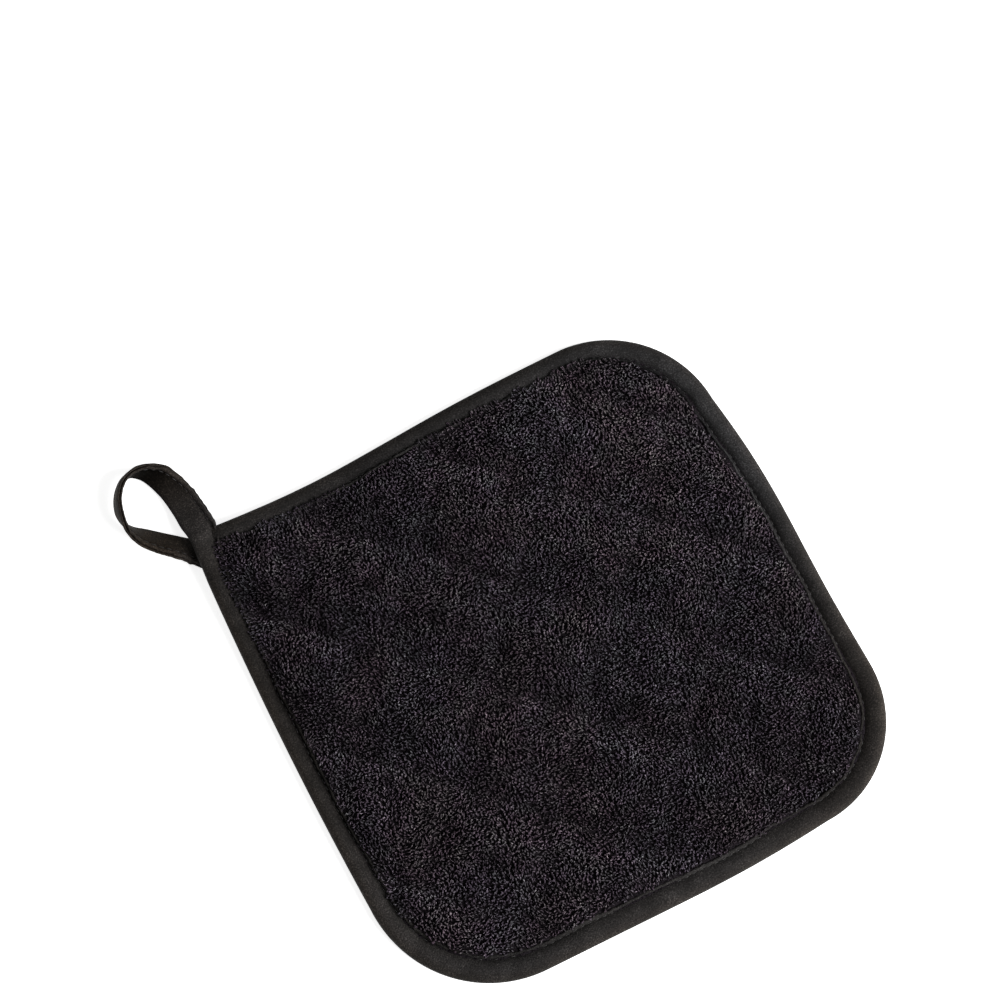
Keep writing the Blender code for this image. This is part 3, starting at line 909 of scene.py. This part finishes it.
def silver_material():
    """Silver coated cotton: satin, finely woven, with needle holes on its seams."""
    material, tree, shader = new_material("silver_coating", (0.72, 0.73, 0.74), 0.48)
    place = object_place(tree)
    x, y, _ = split_place(tree, place)
    rate = 2.0 * math.pi / SILVER_WEAVE
    warp = add_math(tree, "SINE", add_math(tree, "MULTIPLY", x, rate))
    weft = add_math(tree, "SINE", add_math(tree, "MULTIPLY", y, rate))
    weave = add_math(tree, "MULTIPLY", warp, weft)
    patches = add_noise(tree, place, 9.0 * MM, 4.0)
    tone = add_math(tree, "SUBTRACT", patches, add_math(tree, "MULTIPLY", seam_marks(tree, x, y), 0.5))
    colour = add_ramp(tree, tone, (
        (0.0, (0.16, 0.16, 0.16)),
        (0.25, (0.66, 0.67, 0.675)),
        (0.75, (0.76, 0.77, 0.775)),
    ))
    tree.links.new(colour, shader.inputs["Base Color"])
    shader.inputs["Metallic"].default_value = 0.25
    height = add_math(tree, "ADD", add_math(tree, "MULTIPLY", weave, 0.25),
                      add_math(tree, "MULTIPLY", add_noise(tree, place, 0.9 * MM), 0.8))
    add_bump(tree, shader, height, 0.05 * MM)
    return material


def thread_material(name, colour):
    """Sewing thread, with its twist as fine bands."""
    material, tree, shader = new_material(name, colour, 0.55)
    place = object_place(tree)
    twist = add_noise(tree, place, 0.25 * MM)
    dull = tuple(0.55 * value for value in colour)
    tree.links.new(add_ramp(tree, twist, ((0.35, dull), (0.65, colour))), shader.inputs["Base Color"])
    add_bump(tree, shader, twist, 0.08 * MM)
    return material


def floor_material():
    """A plain white floor, lit from below as a light table is."""
    material, tree, shader = new_material("pale_floor", (0.90, 0.90, 0.89), 0.8)
    tone = add_noise(tree, object_place(tree), 0.4)
    tree.links.new(add_ramp(tree, tone, ((0.0, (0.90, 0.90, 0.89)), (1.0, (0.93, 0.93, 0.92)))),
                   shader.inputs["Base Color"])
    shader.inputs["Emission Color"].default_value = (1.0, 1.0, 1.0, 1.0)
    shader.inputs["Emission Strength"].default_value = FLOOR_GLOW
    return material


# ---- Pieces ----

def ride(piece, node=None):
    """The piece moves with the pad, and the part that it stands in for is hidden."""
    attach(piece, "root")
    if node:
        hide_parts(node)


def terry_ground():
    """The terry's ground cloth, quilted and crowned under the pile."""
    x, y, quads = grid_over_pad(TERRY_STEP)
    points = np.stack((x, y, terry_cloth_at(x, y)), axis=1)
    mesh = panel_mesh("terry_ground", points, quads,
                      lambda px, py: TERRY_LOW + lift_at(px, py))
    mesh.materials.append(ground_material())
    piece = new_piece("terry_ground", mesh)
    ride(piece, "terry_face")


def under_strap(x, y):
    """Whether a place is under the strap's root at the loop's corner."""
    rows = np.array(LOOP[:ROOT_ROWS]) * MM
    edge = np.interp(y, rows[:, 4], rows[:, 3])
    return (y > rows[0, 4]) & (x < edge - 2.0 * MM)


def pile_roots(random):
    """Where the pile's loops stand."""
    half = int(PILE_HALF / PILE_PITCH)
    column, row = np.meshgrid(np.arange(-half, half + 1), np.arange(-half, half + 1) * 1.155)
    x = (column + 0.5 * (np.arange(len(column)) % 2)[:, None]) * PILE_PITCH
    y = row * PILE_PITCH * math.sqrt(0.75)
    x, y = x.ravel(), y.ravel()
    x = x + random.uniform(-0.42, 0.42, len(x)) * PILE_PITCH
    y = y + random.uniform(-0.42, 0.42, len(y)) * PILE_PITCH
    reach, lap, _ = tape_shows_at(x, y)
    lap = lap + 0.5 * MM * unevenness(x, y, 9.0 * MM, 41)
    keep = (inset_at(x, y)[0] > reach - lap) & ~under_strap(x, y)
    return x[keep], y[keep]


def pile_loops(x, y, random):
    """Centre lines and radii of the leaning loops of yarn, one at each root."""
    count = len(x)
    heading = PILE_HEADING + 1.1 * unevenness(x, y, 34.0 * MM, 5) + 0.4 * unevenness(x, y, 12.0 * MM, 6)
    heading = heading + random.normal(0.0, LOOP_STRAY, count)
    leaning = heading + 0.5 * unevenness(x, y, 20.0 * MM, 8) + random.normal(0.0, LOOP_STRAY, count)
    inset, _ = inset_at(x, y)
    reach, lap, _ = tape_shows_at(x, y)
    lapping = (1.0 - smooth_step((inset - reach) / (2.0 * MM))) * smooth_step(2.0 * lap / MM)
    over_tape = EDGE_LEAN * lapping
    edge = smooth_step((inset - 7.5 * MM) / (5.0 * MM))
    pressed = 1.0 - SEAM_PRESS + SEAM_PRESS * smooth_step(seam_distance(x, y) / (4.0 * MM))
    rise = LOOP_RISE * (1.0 - EDGE_PRESS + EDGE_PRESS * edge) * pressed
    rise = rise * (1.0 + 0.07 * unevenness(x, y, 9.0 * MM, 9) + random.normal(0.0, 0.13, count))
    span = LOOP_SPAN * random.uniform(0.75, 1.35, count)
    lean = LOOP_LEAN * random.uniform(0.3, 1.7, count)
    t = np.linspace(0.0, 1.0, len(YARN_TAPER))
    arch = np.sin(math.pi * t)
    curl = LOOP_CURL * random.normal(0.0, 1.0, count)[:, None] * np.sin(2.0 * math.pi * t)
    forward = span[:, None] * (t - 0.5)
    slant = lean[:, None] * arch
    px = (x[:, None] + np.cos(heading)[:, None] * forward - np.sin(heading)[:, None] * curl
          + np.cos(leaning)[:, None] * slant + (over_tape * x / np.hypot(x, y))[:, None] * arch)
    py = (y[:, None] + np.sin(heading)[:, None] * forward + np.cos(heading)[:, None] * curl
          + np.sin(leaning)[:, None] * slant + (over_tape * y / np.hypot(x, y))[:, None] * arch)
    ground = terry_cloth_at(x, y) - ROOT_SINK
    ground = ground + lapping * np.maximum(LAP_HEIGHT + lift_at(x, y) - ground, 0.0)
    pz = ground[:, None] + rise[:, None] * arch
    radii = YARN_RADIUS * random.uniform(0.8, 1.25, count)[:, None] * YARN_TAPER
    return np.stack((px, py, pz), axis=2), radii


def pile_shades(x, y, random):
    """The tone of each loop: painted light and shade across each diamond and along the pad, painted
    shadow in hollows, random patches, chance, lint, and painted shade at its roots.
    """
    count = len(x)
    across = 2.0 * ((x + y + DIAMOND / 2.0) % DIAMOND) / DIAMOND - 1.0
    to_loop = smooth_step((y - x - 30.0 * MM) / (70.0 * MM))
    # Painted light and shade: a ramp across each quilted diamond, stronger towards the loop's corner.
    painted_light = across * (SEAM_PAINTED_LIGHT + SEAM_PAINTED_LIGHT_MORE * to_loop)
    painted_light = painted_light * (1.0 + 0.35 * unevenness(x, y, 32.0 * MM, 12))
    shadow_hollows = np.clip(unevenness(x, y, 17.0 * MM, 13) - 0.65, 0.0, 1.2)
    # Painted light rising along the pad and twisting over it, and painted shadow in hollows.
    painted_light = painted_light + PAINTED_LIGHT_SLOPE * (x + y) - HOLLOW_PAINTED_SHADOW * shadow_hollows
    painted_light = painted_light + PAINTED_LIGHT_TWIST * np.clip(x * y, -PAINTED_LIGHT_TWIST_END, PAINTED_LIGHT_TWIST_END)
    shade = PILE_SHADE + painted_light + PATCH_SHADE * unevenness(x, y, 15.0 * MM, 10)
    shade = np.clip(shade + random.normal(0.0, LOOP_SHADE, count), 0.1, 0.9)
    shade[random.random(count) < LINT_SHARE] = 1.0
    return shade[:, None] * YARN_ROOT_SHADE


def terry_pile():
    """The pile: a leaning loop of yarn at each root, in strips."""
    random = np.random.default_rng(7)
    x, y = pile_roots(random)
    lines, radii = pile_loops(x, y, random)
    shade = pile_shades(x, y, random)
    material = yarn_material()
    strips = np.array_split(np.argsort(y), PILE_STRIPS)
    for i, strip in enumerate(strips):
        name = f"terry_pile_{i + 1}"
        mesh = tubes_mesh(name, lines[strip], radii[strip], YARN_SIDES)
        tint = mesh.attributes.new("shade", "FLOAT", "POINT")
        tint.data.foreach_set("value", np.repeat(shade[strip].ravel(), YARN_SIDES))
        mesh.materials.append(material)
        ride(new_piece(name, mesh), "terry_face")


def settled_back(x, y, quads):
    """The silver cloth's face once its slack has puffed and puckered between seams."""
    start = np.stack((x, y, back_low_at(x, y)), axis=1)
    cloth_piece = new_piece("silver_settling", smooth_mesh("silver_settling", start, quads[:, ::-1]))
    held = (seam_distance(x, y) < 0.2 * BACK_STEP) | (inset_at(x, y)[0] < BACK_HELD)
    group = cloth_piece.vertex_groups.new(name="held")
    group.add(np.flatnonzero(held).tolist(), 1.0, "REPLACE")
    cloth = cloth_piece.modifiers.new("settle", "CLOTH")
    cloth.settings.quality = 6
    cloth.settings.mass = 0.15
    cloth.settings.tension_stiffness = 12.0
    cloth.settings.compression_stiffness = 12.0
    cloth.settings.shear_stiffness = 6.0
    cloth.settings.bending_stiffness = 0.25
    cloth.settings.vertex_group_mass = "held"
    cloth.settings.shrink_min = -BACK_SLACK
    cloth.settings.use_pressure = True
    cloth.settings.uniform_pressure_force = BACK_PRESSURE
    cloth.settings.effector_weights.gravity = 0.0
    cloth.point_cache.frame_start = 1
    cloth.point_cache.frame_end = BACK_FRAMES
    for number in range(1, BACK_FRAMES + 1):
        bpy.context.scene.frame_set(number)
    shown = cloth_piece.evaluated_get(bpy.context.evaluated_depsgraph_get())
    moved = np.zeros(len(start) * 3)
    shown.data.vertices.foreach_get("co", moved)
    bpy.context.scene.frame_set(1)
    bpy.data.objects.remove(cloth_piece, do_unlink=True)
    step = moved.reshape(-1, 3) - start
    size = np.linalg.norm(step, axis=1, keepdims=True)
    step = step * BACK_CAP * np.tanh(size / BACK_CAP) / np.maximum(size, 1e-9)
    settled = start + step
    settled[:, 2] = FLOOR_GIVE * np.logaddexp(0.0, settled[:, 2] / FLOOR_GIVE)
    return settled


def silver_back():
    """The silver back, quilted in diamonds."""
    x, y, quads = grid_over_pad(BACK_STEP)
    mesh = panel_mesh("silver_cloth", settled_back(x, y, quads), quads,
                      lambda px, py: BACK_HIGH + lift_at(px, py))
    mesh.materials.append(silver_material())
    piece = new_piece("silver_cloth", mesh)
    ride(piece, "silver_back")


def quilt_stitches():
    """The light grey thread of the quilting on the back."""
    lines = []
    for x, y in quilt_seams():
        line = np.stack((x, y, back_low_at(x, y)), axis=1)
        outward = np.tile((0.0, 0.0, -1.0), (len(x), 1))
        lines.append(stitch_lines(line, outward, QUILT_PITCH, 0.78, 0.10))
    lines = np.concatenate(lines)
    radii = np.full(lines.shape[:2], THREAD_RADIUS)
    mesh = tubes_mesh("quilt_stitches", lines, radii, THREAD_SIDES)
    mesh.materials.append(thread_material("grey_thread", (0.42, 0.42, 0.41)))
    ride(new_piece("quilt_stitches", mesh))


def thread_piece(name, lines, radius):
    """A piece of black threads along centre lines."""
    mesh = tubes_mesh(name, lines, np.full(lines.shape[:2], radius), THREAD_SIDES)
    mesh.materials.append(thread_material(f"{name}_thread", BLACK_THREAD))
    piece = new_piece(name, mesh)
    ride(piece)
    return piece


def tape_stitches(name, rings):
    """The black stitches along both faces of a run of tape."""
    lines = []
    for faces_up in (True, False):
        line, outward = seam_on_tape(rings, STITCH_ROW, faces_up)
        lines.append(stitch_lines(line, outward, EDGE_PITCH, 0.72, 0.10))
    return thread_piece(name, np.concatenate(lines), THREAD_RADIUS)


def edge_tape():
    """The folded tape round the pad's edge, with its stitches."""
    rings, run, tones = binding_rings()
    mesh = tape_mesh("edge_tape", rings, run, tones)
    mesh.materials.append(tape_material("edge_twill", (0.009, 0.0083, 0.0080), (0.026, 0.024, 0.0235)))
    piece = new_piece("edge_tape", mesh)
    ride(piece, "edge_binding")
    stitches = tape_stitches("edge_stitches", rings)
    return rings[-1]


def loop_strap(binding_end):
    """The hanging loop: the tape pressed flat, curled and sewn under the corner."""
    rings, run, tones = strap_rings(binding_end)
    mesh = tape_mesh("loop_strap", rings, run, tones)
    mesh.materials.append(tape_material("loop_twill", (0.010, 0.0092, 0.0088), (0.030, 0.0272, 0.0262)))
    piece = new_piece("loop_strap", mesh)
    ride(piece, "hanging_loop")
    loose = through_rows(LOOSE_THREAD, 4)[None] * MM
    fray = fray_lines(rings, np.random.default_rng(53))
    threads = [
        tape_stitches("loop_stitches", rings),
        thread_piece("bar_tack", tack_lines(rings, run), THREAD_RADIUS),
        thread_piece("strap_fray", fray, FRAY_RADIUS),
        thread_piece("loose_thread", loose, 1.4 * FRAY_RADIUS),
    ]


# ---- Studio ----

def place_floor():
    """A plain pale floor under the pad."""
    bpy.ops.object.select_all(action="DESELECT")
    bpy.ops.mesh.primitive_plane_add(size=FLOOR_SIZE, location=(0.0, 0.0, CAD_BOX[0].z - 0.1 * MM))
    floor = bpy.context.active_object
    floor.name = "floor"
    floor.data.materials.append(floor_material())


def place_lights():
    """A wide soft light on the right, and an even white surround."""
    world = bpy.data.worlds.new("surround")
    bpy.context.scene.world = world
    world.use_nodes = True
    background = world.node_tree.nodes["Background"]
    background.inputs["Color"].default_value = (1.0, 1.0, 1.0, 1.0)
    background.inputs["Strength"].default_value = SURROUND
    light = bpy.data.lights.new("key", "AREA")
    light.shape = "DISK"
    light.size = KEY_SIZE
    light.energy = KEY_POWER
    key = bpy.data.objects.new("key", light)
    bpy.context.scene.collection.objects.link(key)
    place = Matrix.Rotation(math.radians(CAMERA_AZIMUTH), 3, "Z") @ Vector(KEY_PLACE)
    key.location = place
    key.rotation_euler = (-place).to_track_quat("-Z", "Y").to_euler()


def place_camera():
    """The camera at the picture's angle."""
    data = bpy.data.cameras.new("camera")
    data.lens = CAMERA_LENS
    data.sensor_width = SENSOR_WIDTH
    camera = bpy.data.objects.new("camera", data)
    bpy.context.scene.collection.objects.link(camera)
    camera.location = CAMERA_AT
    camera.rotation_euler = (math.radians(90.0 - CAMERA_ELEVATION), 0.0, math.radians(CAMERA_AZIMUTH))
    bpy.context.scene.camera = camera


bpy.context.scene.view_settings.view_transform = "Standard"
place_camera()
place_lights()
place_floor()
terry_ground()
terry_pile()
silver_back()
quilt_stitches()
binding_end = edge_tape()
loop_strap(binding_end)
